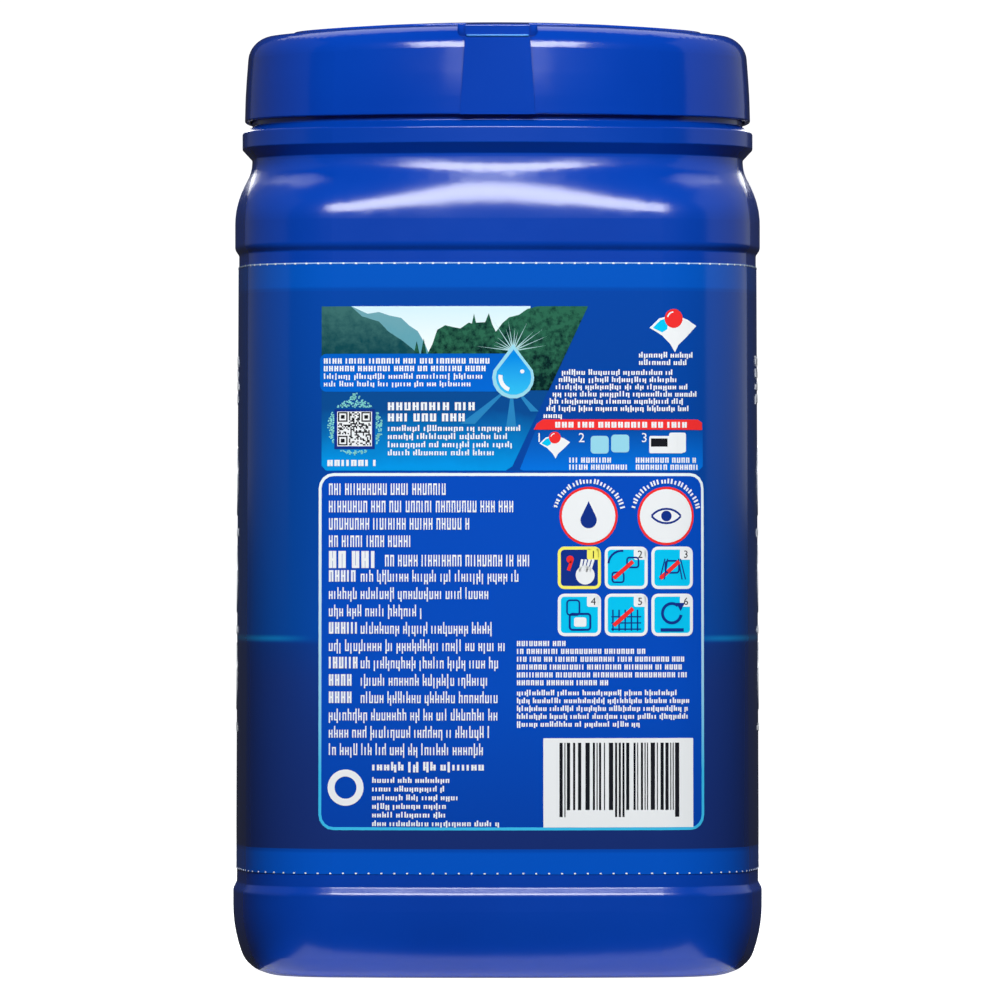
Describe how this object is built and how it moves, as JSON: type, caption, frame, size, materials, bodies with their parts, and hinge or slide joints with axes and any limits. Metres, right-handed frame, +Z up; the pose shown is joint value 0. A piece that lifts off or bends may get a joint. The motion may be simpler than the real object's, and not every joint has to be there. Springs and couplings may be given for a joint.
{
  "type": "dishwasher tablet tub",
  "caption": "Tall rounded-rectangular plastic tub with a push-fit closure, rear-hinged lid flap, shrink sleeve label and a fill of pillow-shaped dishwasher tablets.",
  "frame": {"origin": "centre of the footprint, on the surface the tub stands on", "axes": "+Z up along the height; +X across the width, to the right when facing the tub's back; -Y is the tub's back, with the hinge and the pictured label panel; +Y is its front, with the thumb lip"},
  "size_m": [0.1308, 0.11, 0.2338],
  "materials": {
    "jar_plastic": "glossy, faint orange-peel from the mould",
    "closure_plastic": "glossy",
    "label_film": "printed gloss shrink film",
    "tablet": "pressed powder and gel in clear soluble film"
  },
  "bodies": {
    "tub": {"jar": "jar_plastic", "label_sleeve": "label_film", "closure_collar": "closure_plastic", "tablets_layer_1": "tablet", "tablets_layer_2": "tablet", "tablets_layer_3": "tablet", "tablets_layer_4": "tablet", "tablets_layer_5": "tablet", "tablets_layer_6": "tablet"},
    "flap": {"lid": "closure_plastic"}
  },
  "joints": [
    {"name": "lid_hinge", "type": "hinge", "parent": "tub", "child": "flap", "pos_m": [0, -0.0533, 0.22858], "axis": [1, 0, 0], "range_deg": [0, 175]}
  ]
}
